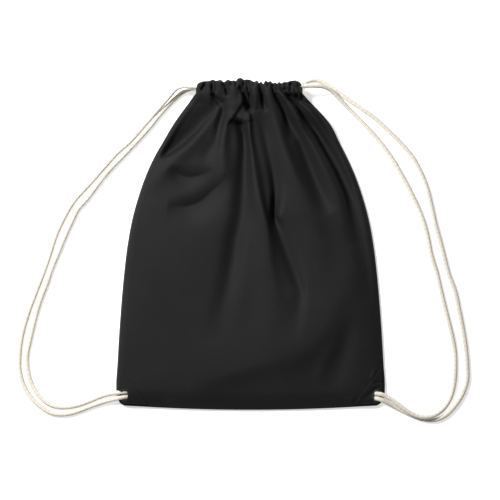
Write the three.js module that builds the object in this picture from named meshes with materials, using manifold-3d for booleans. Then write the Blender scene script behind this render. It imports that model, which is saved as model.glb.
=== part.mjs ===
// Drawstring backpack: a flat cotton sack with a gathered, corded hem.
// It lies on its back. +X runs across, +Y towards the mouth, +Z up.
// Origin: middle of the sack's footprint, on the surface that it lies on. Millimetres.

import * as THREE from 'three';
import { mergeVertices } from 'three/addons/utils/BufferGeometryUtils.js';
import Module from 'manifold-3d';

const wasm = await Module();
wasm.setup();

// ---------------------------------------------------------------- driving dimensions

const HALF_LENGTH = 222.5;       // half of the sack's length, hem included
const HALF_WIDTH = 181;          // half of the sack's width, at the bottom corners
const PANEL = 1.2;               // thickness of a panel, with its share of the fold-overs
const GAP = 0.3;                 // clearance between pieces that touch
const CURVED_GAP = 0.5;          // clearance between bent layers of cloth
const SEAM_WIDTH = 4;            // width of the sewn band along the sides and the bottom
const BOTTOM_BOW = 5.5;          // how far the bottom edge bows down in the middle
const BOTTOM_HALF_WIDTH = 170;   // half of the bottom edge, between its rounded corners
const CORNER_Y = -217;           // where the bottom edge turns into the corners
const LAYER_COLUMNS = 28;        // steps that a bent layer of cloth is made in, across
const LAYER_ROWS = 32;           // and up the sack

const HEM_HEIGHT = 20.5;         // height of the folded hem that the cords run in
const HEM_DEPTH = 9.5;           // thickness of the gathered hem
const HEM_WALL = 1.2;            // cloth around the cord tunnel
const HEM_BEVEL = 2;             // rounding along a gather's edges
const HEM_COLUMNS = 5;           // gathers modelled on each side of the mouth
const HEM_COLUMN_WIDTH = 20;
const HEM_PITCH = 30.5;          // spacing of the gathers, as the hem is pulled in here
const MOUTH_GAP = 8.5;           // opening between the front hem and the back hem

const CORD_RADIUS = 3;
const CORD_SIDES = 8;
const CORD_STEP = 15;            // length of one step of a cord's tube
const KNOT_RADIUS = 7;           // ring radius of the overhand knot behind each buttonhole
const KNOT_STEPS = 56;
const KNOT_X = 140;
const KNOT_Y = -191;
const KNOT_BULGE = 14;           // how far a knot lifts the front panel
const KNOT_SPREAD = 22;          // how far from the knot the panel is still lifted
const BULGE_FOOT = 18;           // the bulge fades out this far above the bottom edge

const HOLE_X = 163.5;            // centre of each buttonhole
const HOLE_Y = { left: -202, right: -203.5 };
const HOLE_LENGTH = 17;
const HOLE_WIDTH = 14.5;
const HOLE_CORNER = 4;           // rounding of the hole's corners
const RIM_WIDTH = 2.5;           // stitched rim around a buttonhole
const RIM_THICKNESS = 0.6;
const PATCH_SIDE = 41;           // corner reinforcement, measured along the bottom
const PATCH_RISE = 51;           // and up the side
const PATCH_INSET = 2.6;         // from the sack's widest line
const PATCH_FOOT = 2.2;          // above the bottom edge's ends
const CUT_FROM = -10;            // cutters reach from below every layer
const CUT_DEPTH = 60;            // to above it

const HEM_BOTTOM = HALF_LENGTH - HEM_HEIGHT;
const PANEL_TOP_Y = HEM_BOTTOM - GAP;
const BACK_HEM_Z = HEM_DEPTH / 2;
const FRONT_HEM_Z = HEM_DEPTH * 1.5 + MOUTH_GAP;
const SEAM_Z = PANEL + GAP;
const FRONT_PANEL_Z = SEAM_Z + PANEL + GAP;
const FLOOR_CORD_Z = CORD_RADIUS + 0.05;

// Half the sack's width at a height up the sack: the rounded bottom corner first,
// then the long sides, drawn in by the gathered hem.
const SIDE = [
  [-HALF_LENGTH, BOTTOM_HALF_WIDTH], [CORNER_Y, BOTTOM_HALF_WIDTH], [-212.5, 176],
  [-206, 179.6], [-197, HALF_WIDTH], [-125, 178], [-53, 172], [43, 154.5], [97, 136],
  [122, 123], [167, 99], [HALF_LENGTH, 62],
];

// Height of the front panel above the side seams, along its middle, up the sack.
const CROWN = [
  [-HALF_LENGTH, 0], [-200, 4], [-150, 8], [-60, 11], [60, 13], [150, 15.5], [HALF_LENGTH, 16.5],
];

// ---------------------------------------------------------------- materials

function finish(color, roughness) {
  return new THREE.MeshStandardMaterial({ color, roughness, metalness: 0 });
}

const COTTON = 0x1f1f21;
const COTTON_DARK = 0x161617;
const THREAD = 0x101011;
const CORD = 0xe4dfd5;

// ---------------------------------------------------------------- solids and booleans

const model = new THREE.Group();
model.name = 'drawstring_backpack';

function addPiece(name, geometry, material) {
  const mesh = new THREE.Mesh(geometry, material);
  mesh.name = name;
  model.add(mesh);
  return mesh;
}

function toSolid(geometry) {
  const bare = geometry.clone();
  bare.deleteAttribute('normal');
  bare.deleteAttribute('uv');
  const merged = mergeVertices(bare, 1e-4);
  const vertProperties = new Float32Array(merged.attributes.position.array);
  const triVerts = new Uint32Array(merged.index.array);
  return new wasm.Manifold(new wasm.Mesh({ numProp: 3, vertProperties, triVerts }));
}

function toGeometry(solid) {
  const mesh = solid.getMesh();
  const geometry = new THREE.BufferGeometry();
  geometry.setAttribute('position', new THREE.BufferAttribute(mesh.vertProperties, 3));
  geometry.setIndex(new THREE.BufferAttribute(mesh.triVerts, 1));
  return geometry;
}

function extrude(shape, bottom, depth) {
  const geometry = new THREE.ExtrudeGeometry(shape, { depth, bevelEnabled: false, curveSegments: 8 });
  return geometry.translate(0, 0, bottom);
}

// ---------------------------------------------------------------- the sack's form

function interpolant(points) {
  const at = new Float32Array(points.map((point) => point[0]));
  const value = new Float32Array(points.map((point) => point[1]));
  return new THREE.LinearInterpolant(at, value, 1);
}

const sideLine = interpolant(SIDE);
const crownLine = interpolant(CROWN);

function halfWidth(y) {
  return sideLine.evaluate(y)[0];
}

function bottomEdge(x) {
  return -HALF_LENGTH + BOTTOM_BOW * (x / BOTTOM_HALF_WIDTH) ** 2;
}

// Rise of the front panel above its edges: a low crown that stays broad at the hem,
// and a bulge over each knot.
function rise(x, y) {
  const across = Math.min(1, Math.abs(x) / halfWidth(y));
  const up = (y + HALF_LENGTH) / (2 * HALF_LENGTH);
  const breadth = 3 + 9 * up ** 2;
  const crown = crownLine.evaluate(y)[0] * (1 - across ** breadth);
  const fromKnot = Math.hypot(Math.abs(x) - KNOT_X, y - KNOT_Y) / KNOT_SPREAD;
  const fromBottom = Math.min(1, (y - bottomEdge(x)) / BULGE_FOOT);
  const bulge = KNOT_BULGE * Math.exp(-0.5 * fromKnot ** 2) * (1 - across ** 12) * fromBottom;
  return Math.max(crown, 0) + bulge;
}

// Cuts the underside of a box into triangles along the same diagonals as its top,
// so that one bent layer nests in the next.
function nestUnderside(box) {
  const underside = box.groups[5];
  const { array } = box.index;
  for (let i = underside.start; i < underside.start + underside.count; i += 6) {
    const [a, b, d, , c] = array.slice(i, i + 6);
    array.set([a, b, c, a, c, d], i);
  }
}

// A layer of cloth that follows the front panel, from one height above its
// inner face to another: a box bent to the sack's outline and its crown.
function frontLayer(bottom, thickness) {
  const geometry = new THREE.BoxGeometry(2, 1, 1, LAYER_COLUMNS, LAYER_ROWS, 1);
  const position = geometry.attributes.position;
  nestUnderside(geometry);
  for (let i = 0; i < position.count; i += 1) {
    const across = position.getX(i);
    const up = position.getY(i) + 0.5;
    const guess = THREE.MathUtils.lerp(-HALF_LENGTH + BOTTOM_BOW, PANEL_TOP_Y, up);
    const x = across * halfWidth(guess);
    const y = THREE.MathUtils.lerp(bottomEdge(x), PANEL_TOP_Y, up);
    const layer = position.getZ(i) > 0 ? bottom + thickness : bottom;
    position.setXYZ(i, x, y, FRONT_PANEL_Z + rise(x, y) + layer);
  }
  return toSolid(geometry);
}

// The sack's right-hand edge up to the hem, moved inwards.
function outlinePoints(inset) {
  const heights = [...SIDE.slice(1, -1).map((point) => point[0]), PANEL_TOP_Y];
  return heights.map((y) => new THREE.Vector2(halfWidth(y) - inset, Math.max(y, CORNER_Y + inset)));
}

// ---------------------------------------------------------------- panels and seams

function makeBackPanel() {
  const right = outlinePoints(0);
  const left = right.map((point) => new THREE.Vector2(-point.x, point.y)).reverse();
  const bottom = [-120, -60, 0, 60, 120].map((x) => new THREE.Vector2(x, bottomEdge(x)));
  const outline = new THREE.Shape([...right, ...left, ...bottom]);
  addPiece('back_panel', extrude(outline, 0, PANEL), finish(COTTON, 0.95));
}

function rimShape(margin, side) {
  const halfX = HOLE_LENGTH / 2 + margin;
  const halfY = HOLE_WIDTH / 2 + margin;
  const centre = { x: side === 'left' ? -HOLE_X : HOLE_X, y: HOLE_Y[side] };
  const shape = new THREE.Shape();
  const corner = HOLE_CORNER + margin;
  shape.moveTo(centre.x - halfX + corner, centre.y - halfY);
  shape.lineTo(centre.x + halfX - corner, centre.y - halfY);
  shape.quadraticCurveTo(centre.x + halfX, centre.y - halfY, centre.x + halfX, centre.y - halfY + corner);
  shape.lineTo(centre.x + halfX, centre.y + halfY - corner);
  shape.quadraticCurveTo(centre.x + halfX, centre.y + halfY, centre.x + halfX - corner, centre.y + halfY);
  shape.lineTo(centre.x - halfX + corner, centre.y + halfY);
  shape.quadraticCurveTo(centre.x - halfX, centre.y + halfY, centre.x - halfX, centre.y + halfY - corner);
  shape.lineTo(centre.x - halfX, centre.y - halfY + corner);
  shape.quadraticCurveTo(centre.x - halfX, centre.y - halfY, centre.x - halfX + corner, centre.y - halfY);
  return shape;
}

function holeCutter(margin, side) {
  return toSolid(extrude(rimShape(margin, side), CUT_FROM, CUT_DEPTH));
}

function makeFrontPanel() {
  const panel = frontLayer(0, PANEL)
    .subtract(holeCutter(0, 'left'))
    .subtract(holeCutter(0, 'right'));
  addPiece('front_panel', toGeometry(panel), finish(COTTON, 0.95));
}

function makeSideSeam(name, sign) {
  const outer = outlinePoints(0).slice(3);
  const inner = outlinePoints(SEAM_WIDTH).slice(3).reverse();
  const band = [...outer, ...inner].map((point) => new THREE.Vector2(sign * point.x, point.y));
  addPiece(name, extrude(new THREE.Shape(band), SEAM_Z, PANEL), finish(COTTON_DARK, 0.9));
}

function makeBottomSeam() {
  const steps = [-BOTTOM_HALF_WIDTH, -120, -60, 0, 60, 120, BOTTOM_HALF_WIDTH];
  const lower = steps.map((x) => new THREE.Vector2(x, bottomEdge(x)));
  const upper = steps.map((x) => new THREE.Vector2(x, bottomEdge(x) + SEAM_WIDTH)).reverse();
  const band = new THREE.Shape([...lower, ...upper]);
  addPiece('bottom_seam', extrude(band, SEAM_Z, PANEL), finish(COTTON_DARK, 0.9));
}

// A triangle of cloth, sewn on the corner, carries the pull on each buttonhole.
function makeCornerPatch(name, side) {
  const sign = side === 'left' ? -1 : 1;
  const edge = HALF_WIDTH - PATCH_INSET;
  const foot = -HALF_LENGTH + BOTTOM_BOW + PATCH_FOOT;
  const triangle = new THREE.Shape([
    new THREE.Vector2(sign * edge, foot),
    new THREE.Vector2(sign * edge, foot + PATCH_RISE),
    new THREE.Vector2(sign * (edge - PATCH_SIDE), foot),
  ]);
  const prism = toSolid(extrude(triangle, CUT_FROM, CUT_DEPTH));
  const patch = frontLayer(PANEL + CURVED_GAP, RIM_THICKNESS)
    .intersect(prism)
    .subtract(holeCutter(RIM_WIDTH + GAP, side));
  addPiece(name, toGeometry(patch), finish(COTTON_DARK, 0.95));
}

function makeButtonhole(name, side) {
  const rim = frontLayer(PANEL + CURVED_GAP, RIM_THICKNESS)
    .intersect(holeCutter(RIM_WIDTH, side))
    .subtract(holeCutter(0, side));
  addPiece(name, toGeometry(rim), finish(THREAD, 0.6));
}

// ---------------------------------------------------------------- gathered hem

// One gather: a sleeve of cloth around the cord tunnel, made where the hem's middle is.
function hemSleeve() {
  const outer = new THREE.Shape();
  const halfHeight = HEM_HEIGHT / 2;
  const halfDepth = HEM_DEPTH / 2;
  outer.moveTo(-halfDepth + HEM_BEVEL, -halfHeight);
  outer.lineTo(halfDepth - HEM_BEVEL, -halfHeight);
  outer.lineTo(halfDepth, -halfHeight + HEM_BEVEL);
  outer.lineTo(halfDepth, halfHeight - HEM_BEVEL);
  outer.lineTo(halfDepth - HEM_BEVEL, halfHeight);
  outer.lineTo(-halfDepth + HEM_BEVEL, halfHeight);
  outer.lineTo(-halfDepth, halfHeight - HEM_BEVEL);
  outer.lineTo(-halfDepth, -halfHeight + HEM_BEVEL);
  const y = halfHeight - HEM_WALL;
  const z = halfDepth - HEM_WALL;
  const tunnel = new THREE.Path([
    new THREE.Vector2(-z, -y),
    new THREE.Vector2(-z, y),
    new THREE.Vector2(z, y),
    new THREE.Vector2(z, -y),
  ]);
  outer.holes.push(tunnel);
  const geometry = new THREE.ExtrudeGeometry(outer, { depth: HEM_COLUMN_WIDTH, bevelEnabled: false });
  return geometry.translate(0, 0, -HEM_COLUMN_WIDTH / 2).rotateY(Math.PI / 2);
}

function makeHem(side, z) {
  for (let i = 0; i < HEM_COLUMNS; i += 1) {
    const piece = addPiece(`${side}_hem_${i + 1}`, hemSleeve(), finish(COTTON, 0.95));
    piece.position.set((i - (HEM_COLUMNS - 1) / 2) * HEM_PITCH, HALF_LENGTH - HEM_HEIGHT / 2, z);
  }
}

// ---------------------------------------------------------------- cords

function cordTube(points) {
  const curve = new THREE.CatmullRomCurve3(points.map((point) => new THREE.Vector3(...point)));
  const section = new THREE.Shape();
  for (let i = 0; i < CORD_SIDES; i += 1) {
    const angle = (i * 2 * Math.PI) / CORD_SIDES;
    const corner = [CORD_RADIUS * Math.cos(angle), CORD_RADIUS * Math.sin(angle)];
    if (i === 0) section.moveTo(...corner);
    else section.lineTo(...corner);
  }
  const steps = Math.max(4, Math.round(curve.getLength() / CORD_STEP));
  return new THREE.ExtrudeGeometry(section, { steps, extrudePath: curve, bevelEnabled: false });
}

// Each cord loops once round the mouth, through the front and the back hem, and both
// of its ends leave on its own side. The strands lie on the surface beside the sack,
// climb over its side edge and dive into the buttonhole.
const STRANDS = {
  left_strap_outer: [
    [-71.3, 211.9, 22.75], [-80, 212.2, 22.4], [-89, 212.9, 20.2], [-99.5, 209.9, 15.6],
    [-111.2, 197.8, 10.2], [-128.5, 178.9, 5.2], [-145.9, 159.3, 3.3], [-164.6, 138.4, 3.05],
    [-180.1, 124.7, 3.05], [-197.2, 105.8, 3.05], [-214.5, 86, 3.05], [-235.1, 63.6, 3.05],
    [-245.8, 48.3, 3.05], [-257.5, 25.9, 3.05], [-265.2, 7, 3.05], [-272.3, -15.6, 3.05],
    [-281.3, -41.4, 3.05], [-291.3, -67.1, 3.05], [-300.7, -93, 3.05], [-308.4, -120.5, 3.05],
    [-312.2, -148, 3.05], [-311.9, -170.4, 3.05], [-305.8, -191, 3.05], [-294.7, -208.1, 3.05],
    [-280.9, -220.3, 3.05], [-268.9, -227.1, 3.05], [-255.2, -228.8, 3.05], [-241.4, -227.1, 3.05],
    [-217.3, -218.5, 3.05], [-203, -213.3, 4.6], [-191, -209.6, 8.2], [-182, -207.2, 10.4],
    [-174.5, -205.8, 12], [-168, -205.3, 11.3], [-162.5, -205.2, 9], [-157.5, -205.2, 6.7],
  ],
  left_strap_inner: [
    [-71.3, 211.9, 4.75], [-80, 211.2, 4.5], [-90, 207.6, 3.6], [-101, 199, 3.05],
    [-119.4, 180.2, 3.05], [-137.9, 157.6, 3.05], [-155.6, 138, 3.05], [-174.8, 117.8, 3.05],
    [-192.1, 99.8, 3.05], [-205.8, 82.6, 3.05], [-221.3, 62, 3.05], [-233.3, 48.3, 3.05],
    [-241, 32.8, 3.05], [-249.7, 13.9, 3.05], [-262.6, -17.4, 3.05], [-268.9, -32.8, 3.05],
    [-275.2, -51.8, 3.05], [-284.4, -75.8, 3.05], [-291.3, -99.9, 3.05], [-298.2, -129.1, 3.05],
    [-302, -148, 3.05], [-301.5, -166.9, 3.05], [-296.4, -185.9, 3.05], [-287.8, -201.3, 3.05],
    [-277.5, -211.6, 3.05], [-265.4, -217.7, 3.05], [-251.7, -219.3, 3.05], [-234.6, -216.8, 3.05],
    [-217.3, -210.8, 3.05], [-203, -204.8, 4.8], [-191, -201.1, 8.6], [-182, -199.4, 11.6],
    [-174.5, -198.8, 12.8], [-168, -198.7, 11.9], [-162.5, -198.7, 9.1], [-157.5, -198.7, 6.7],
  ],
  right_strap_outer: [
    [71.3, 218.3, 4.75], [79, 221.8, 4.4], [88.5, 223.3, 3.6], [99, 219.4, 3.05],
    [112, 210.9, 3.05], [127.5, 199.7, 3.05], [146.4, 186.6, 3.05], [167, 172, 3.05],
    [185.9, 154.8, 3.05], [203.1, 137.6, 3.05], [218.6, 118.8, 3.05], [230.6, 96.4, 3.05],
    [239.3, 74, 3.05], [244.6, 51.6, 3.05], [249.6, 29.3, 3.05], [254.8, 10.4, 3.05],
    [261.6, -15.6, 3.05], [267.4, -38, 3.05], [276.2, -62, 3.05], [281.9, -87.9, 3.05],
    [286.9, -113.6, 3.05], [290.9, -139.4, 3.05], [292.9, -165.3, 3.05], [292.7, -182.4, 3.05],
    [286.6, -201.3, 3.05], [275.4, -218.5, 3.05], [261.6, -231.5, 3.05], [247.9, -236.4, 3.05],
    [234.1, -235.6, 3.05], [216.9, -229.7, 3.05], [202, -222.3, 4.3], [191, -216.2, 8],
    [182, -211.4, 10.4], [174.5, -208.6, 11.9], [168, -207.1, 11.3], [162.5, -206.7, 9],
    [157.5, -206.7, 6.7],
  ],
  right_strap_inner: [
    [71.3, 212.7, 22.75], [80, 213.3, 22.4], [90, 213.2, 20.6], [99.5, 212, 17.4],
    [109.5, 207.2, 13], [119.4, 197.3, 8.4], [136, 180.6, 4], [153.3, 163.4, 3.05],
    [170.4, 144.5, 3.05], [187.6, 122.1, 3.05], [203.1, 96.4, 3.05], [216.9, 70.5, 3.05],
    [228.9, 44.8, 3.05], [237.5, 19, 3.05], [244.4, -13.9, 3.05], [251.3, -36.3, 3.05],
    [258.1, -65.5, 3.05], [265, -93, 3.05], [271.9, -120.5, 3.05], [276.2, -144.5, 3.05],
    [276.7, -170.4, 3.05], [274.6, -191, 3.05], [268.5, -209.9, 3.05], [258.8, -222.6, 4.4],
    [245, -230.6, 8.2], [230, -231.4, 9.6], [216, -226.2, 9.6], [203.1, -217.6, 9.2],
    [192, -209.2, 9.4], [182, -203.8, 11.6], [174.5, -201.3, 12.6], [168, -200.3, 11.8],
    [162.5, -200.2, 9.1], [157.5, -200.2, 6.7],
  ],
};

// The stretches inside the hem, and the bight where each cord turns from the front
// hem to the back hem at the far end of the mouth.
const RUN_END = 69.5;            // a run stops short of the strand or bight that carries on
const HELD = {
  left_cord_front_run: [
    [-RUN_END, 211.9, FRONT_HEM_Z], [0, 209.1, FRONT_HEM_Z], [RUN_END, 206.3, FRONT_HEM_Z],
  ],
  left_cord_back_run: [
    [-RUN_END, 211.9, BACK_HEM_Z], [0, 211.9, BACK_HEM_Z], [RUN_END, 211.9, BACK_HEM_Z],
  ],
  right_cord_front_run: [
    [-RUN_END, 218.3, FRONT_HEM_Z], [0, 215.5, FRONT_HEM_Z], [RUN_END, 212.7, FRONT_HEM_Z],
  ],
  right_cord_back_run: [
    [-RUN_END, 218.3, BACK_HEM_Z], [0, 218.3, BACK_HEM_Z], [RUN_END, 218.3, BACK_HEM_Z],
  ],
  left_cord_bight: [
    [71.3, 206.3, 22.75], [76.6, 207, 21.2], [80.3, 209.1, 13.75], [76.6, 211.2, 6.3],
    [71.3, 211.9, 4.75],
  ],
  right_cord_bight: [
    [-71.3, 218.3, 22.75], [-76.6, 218.3, 21.2], [-80.3, 218.3, 13.75], [-76.6, 218.3, 6.3],
    [-71.3, 218.3, 4.75],
  ],
};

// An overhand knot, tied in the cord's two ends behind the buttonhole.
function makeKnot(name, sign) {
  const geometry = new THREE.TorusKnotGeometry(KNOT_RADIUS, CORD_RADIUS, KNOT_STEPS, CORD_SIDES, 2, 3);
  const knot = addPiece(name, geometry, finish(CORD, 0.9));
  knot.position.set(sign * KNOT_X, KNOT_Y, PANEL + GAP + CORD_RADIUS + KNOT_RADIUS / 2);
}

function makeCords() {
  for (const [name, points] of Object.entries({ ...STRANDS, ...HELD })) {
    addPiece(name, cordTube(points), finish(CORD, 0.9));
  }
}

// ---------------------------------------------------------------- assembly

makeBackPanel();
makeFrontPanel();
makeSideSeam('left_side_seam', -1);
makeSideSeam('right_side_seam', 1);
makeBottomSeam();
makeCornerPatch('left_corner_patch', 'left');
makeCornerPatch('right_corner_patch', 'right');
makeButtonhole('left_buttonhole', 'left');
makeButtonhole('right_buttonhole', 'right');
makeHem('back', BACK_HEM_Z);
makeHem('front', FRONT_HEM_Z);
makeCords();
makeKnot('left_knot', -1);
makeKnot('right_knot', 1);

export default model;
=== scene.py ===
"""The looks of a cotton drawstring backpack that lies on its back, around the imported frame.

Metres. +X runs across the bag, +Y towards its mouth, +Z up. A place on a panel is also
given on its flat cut: s across from the middle, t up from the bottom seam.
"""

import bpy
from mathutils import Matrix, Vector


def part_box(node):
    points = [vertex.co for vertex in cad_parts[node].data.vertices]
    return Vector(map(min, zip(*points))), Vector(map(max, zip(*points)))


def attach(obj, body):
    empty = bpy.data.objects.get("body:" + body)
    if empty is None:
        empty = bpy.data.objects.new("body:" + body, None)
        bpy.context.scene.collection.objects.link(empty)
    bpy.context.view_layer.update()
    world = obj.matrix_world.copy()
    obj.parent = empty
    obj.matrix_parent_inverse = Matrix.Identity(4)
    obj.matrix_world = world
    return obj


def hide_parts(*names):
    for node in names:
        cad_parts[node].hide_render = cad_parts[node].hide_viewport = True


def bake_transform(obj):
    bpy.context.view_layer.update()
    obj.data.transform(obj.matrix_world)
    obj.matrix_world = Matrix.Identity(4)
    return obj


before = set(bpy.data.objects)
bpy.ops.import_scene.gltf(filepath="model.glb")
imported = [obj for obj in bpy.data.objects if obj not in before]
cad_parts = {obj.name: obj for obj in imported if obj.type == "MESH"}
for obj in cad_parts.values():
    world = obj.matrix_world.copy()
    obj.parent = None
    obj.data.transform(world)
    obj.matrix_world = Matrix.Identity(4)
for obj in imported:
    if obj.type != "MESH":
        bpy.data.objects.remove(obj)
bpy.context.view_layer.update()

import math

import bpy
import numpy as np
from mathutils import Vector

MM = 0.001

# ------------------------------------------------------------------ places, from the frame

back_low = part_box("back_panel")[0]
front_hem_low, front_hem_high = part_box("front_hem_3")
back_hem_low, back_hem_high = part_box("back_hem_3")
hem_left_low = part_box("front_hem_1")[0]
hem_right_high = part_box("front_hem_5")[1]

STITCH_Y = front_hem_low[1] + 1 * MM            # the line that closes the cord channel
FRONT_HEM_Z = (front_hem_low[2] + front_hem_high[2]) / 2
BACK_HEM_Z = (back_hem_low[2] + back_hem_high[2]) / 2
HEM_LEFT_X = hem_left_low[0] - 1.8 * MM
HEM_RIGHT_X = hem_right_high[0] - 1.5 * MM
BOTTOM_Y = back_low[1]
CORD_DIAMETER = 6 * MM

CUT_HALF_WIDTH = 181 * MM       # half of a panel's flat width
CUT_LENGTH = 436 * MM           # flat length from the bottom seam to the hem's stitch line
GRID = 1.5 * MM                 # spacing of the cloth's grid on the flat cut
HEM_ROWS = 30                   # rows of the grid that go round the cord channel
CLOTH = 0.5 * MM                # thickness of the cotton
CINCH_OPEN = 0.109              # how far a hem end slides until the bag is flat
NECK_Y = 0.15                   # above this line the cloth shares out evenly over the hem's width
SHOULDER_Y = 0.188              # above this line the side seams rise to the hem's own height


def ease(x, low, high):
    """0 below low, 1 above high, smooth between."""
    t = np.clip((x - low) / (high - low), 0, 1)
    return t * t * (3 - 2 * t)


def through(x, points):
    """A smooth curve through given (x, value) points, at x."""
    at, value = np.array(points, float).T
    slope = np.gradient(value, at)
    k = np.clip(np.searchsorted(at, x) - 1, 0, len(at) - 2)
    width = at[k + 1] - at[k]
    u = np.clip((x - at[k]) / width, 0, 1)
    return (
        value[k] * (1 + 2 * u) * (1 - u) ** 2
        + slope[k] * width * u * (1 - u) ** 2
        + value[k + 1] * u * u * (3 - 2 * u)
        + slope[k + 1] * width * u * u * (u - 1)
    )


# Half the bag's width up the bag, in millimetres: rounded corners, then the long drawn-in sides.
SIDE = [
    (-217.5, 168), (-215, 173.5), (-210, 178), (-203, 180.6), (-192, 181.3), (-160, 179.6),
    (-101, 176), (-42, 171), (0, 166), (33, 160), (66, 151), (98, 139.5), (120, 129.2),
    (141, 117), (163, 103.5), (185, 87.5), (203, 73),
]


def half_width(y, right=False):
    """Half the bag's width at y; the right side bulges a little below the hem."""
    width = through(np.asarray(y, float) / MM, SIDE) * MM
    bulge = 4 * MM * np.exp(-(((np.asarray(y, float) - 168 * MM) / (30 * MM)) ** 2))
    return width + np.where(right, bulge, 0)


def bottom_edge(x):
    """The bottom seam bows down in the middle."""
    return BOTTOM_Y + 5.2 * MM * np.clip(np.abs(x) / (170 * MM), 0, 1.06) ** 2


# ------------------------------------------------------------------ camera, floor and light

def make_camera():
    """Straight above, as wide as the bag with its loops laid out."""
    camera = bpy.data.objects.new("camera", bpy.data.cameras.new("camera"))
    distance = 2.0
    field = 0.674
    camera.data.sensor_width = 36
    camera.data.lens = 36 * distance / field
    camera.location = (-0.0007, -0.0067, distance + 8 * MM)
    bpy.context.collection.objects.link(camera)
    bpy.context.scene.camera = camera


def add_area(name, place, size, energy):
    light = bpy.data.lights.new(name, "AREA")
    light.shape = "DISK"
    light.size = size
    light.energy = energy
    lamp = bpy.data.objects.new(name, light)
    lamp.location = place
    lamp.rotation_euler = (-Vector(place)).to_track_quat("-Z", "Y").to_euler()
    bpy.context.collection.objects.link(lamp)


def make_light():
    add_area("key", (-0.92, 0.84, 1.36), 0.5, 54)
    add_area("fill", (0.2, -0.1, 2.4), 1.2, 2.5)
    world = bpy.data.worlds.new("studio")
    world.use_nodes = True
    background = world.node_tree.nodes["Background"]
    background.inputs["Color"].default_value = (1, 1, 1, 1)
    background.inputs["Strength"].default_value = 0.1
    bpy.context.scene.world = world
    bpy.context.scene.view_settings.view_transform = "Standard"


def make_floor(material):
    bpy.ops.mesh.primitive_plane_add(size=8, location=(0, 0, 0))
    floor = bpy.context.object
    floor.name = "floor"
    floor.data.materials.append(material)


# ------------------------------------------------------------------ meshes

def distance_along(line):
    """The distance of each point of a line from its first one."""
    return np.concatenate([[0], np.cumsum(np.linalg.norm(np.diff(line, axis=0), axis=1))])


def unit(vectors):
    return vectors / np.linalg.norm(vectors, axis=-1)[..., None]


def mesh_object(name, points, faces, material):
    mesh = bpy.data.meshes.new(name)
    mesh.from_pydata([tuple(p) for p in points], [], [tuple(f) for f in faces])
    mesh.materials.append(material)
    mesh.polygons.foreach_set("use_smooth", [True] * len(mesh.polygons))
    mesh.update()
    thing = bpy.data.objects.new(name, mesh)
    bpy.context.collection.objects.link(thing)
    return thing


def grid_faces(rows, columns, wrap=False):
    """Quads of a grid of points stored row by row; wrap joins the last column to the first."""
    r, c = np.meshgrid(np.arange(rows - 1), np.arange(columns - (not wrap)), indexing="ij")
    right = (c + 1) % columns
    quads = [r * columns + c, r * columns + right, (r + 1) * columns + right, (r + 1) * columns + c]
    return np.stack(quads, -1).reshape(-1, 4)


def set_uv(thing, uv):
    """uv is one pair for each point of the mesh."""
    layer = thing.data.uv_layers.new(name="UVMap")
    corner = np.zeros(len(thing.data.loops), int)
    thing.data.loops.foreach_get("vertex_index", corner)
    layer.data.foreach_set("uv", np.asarray(uv, float)[corner].astype(np.float32).ravel())


def set_value(thing, name, values):
    attribute = thing.data.attributes.new(name, "FLOAT", "POINT")
    attribute.data.foreach_set("value", np.asarray(values, np.float32))


def follow_hem(thing, pull):
    """Bakes thing's transform into its mesh; thing does not go with the hem as it opens. pull (-1 at its left
    end, 0 on the bag, 1 at its right end) is not used.
    """
    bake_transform(thing)


def places(thing):
    """Where thing's points are, one row each."""
    flat = np.zeros(3 * len(thing.data.vertices), np.float32)
    thing.data.vertices.foreach_get("co", flat)
    return flat.reshape(-1, 3).astype(float)


def panel_pull(points):
    """How much of the hem's travel a point of a panel makes: all of it at the hem, little at the bottom."""
    x, y = points[:, 0], np.minimum(points[:, 1], STITCH_Y)
    width = half_width(y, x > 0)
    return np.clip(x / width, -1, 1) * np.clip(CUT_HALF_WIDTH - width, 0, 1) / CINCH_OPEN


# ------------------------------------------------------------------ materials

def new_material(name):
    material = bpy.data.materials.new(name)
    material.use_nodes = True
    return material, material.node_tree.nodes, material.node_tree.links


def math_node(nodes, links, operation, a, b=None):
    """a and b are numbers or sockets."""
    node = nodes.new("ShaderNodeMath")
    node.operation = operation
    for socket, value in zip(node.inputs, (a, b)):
        if value is None:
            continue
        if isinstance(value, (int, float)):
            socket.default_value = value
        else:
            links.new(value, socket)
    return node.outputs[0]


def noise_node(nodes, links, vector, scale, detail=3, rough=0.55):
    node = nodes.new("ShaderNodeTexNoise")
    node.inputs["Scale"].default_value = scale
    node.inputs["Detail"].default_value = detail
    node.inputs["Roughness"].default_value = rough
    links.new(vector, node.inputs["Vector"])
    return node.outputs["Fac"]


def mix_colors(nodes, links, factor, a, b):
    node = nodes.new("ShaderNodeMix")
    node.data_type = "RGBA"
    links.new(factor, node.inputs["Factor"])
    for socket, value in ((node.inputs["A"], a), (node.inputs["B"], b)):
        if isinstance(value, tuple):
            socket.default_value = (*value, 1)
        else:
            links.new(value, socket)
    return node.outputs["Result"]


def bump_node(nodes, links, height, distance, strength, normal=None):
    node = nodes.new("ShaderNodeBump")
    node.inputs["Distance"].default_value = distance
    node.inputs["Strength"].default_value = strength
    links.new(height, node.inputs["Height"])
    if normal is not None:
        links.new(normal, node.inputs["Normal"])
    return node.outputs["Normal"]


def ramp(nodes, links, value, low, high):
    node = nodes.new("ShaderNodeMapRange")
    node.inputs["From Min"].default_value = low
    node.inputs["From Max"].default_value = high
    links.new(value, node.inputs["Value"])
    return node.outputs["Result"]


THREAD_SPACING = 0.9 * MM       # between the crowns of the weave, for warp and weft


def waves(nodes, links, distance):
    """A sine along one direction of the cloth, one period for each thread."""
    turns = math_node(nodes, links, "MULTIPLY", distance, 2 * math.pi / THREAD_SPACING)
    return math_node(nodes, links, "SINE", turns)


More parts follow.
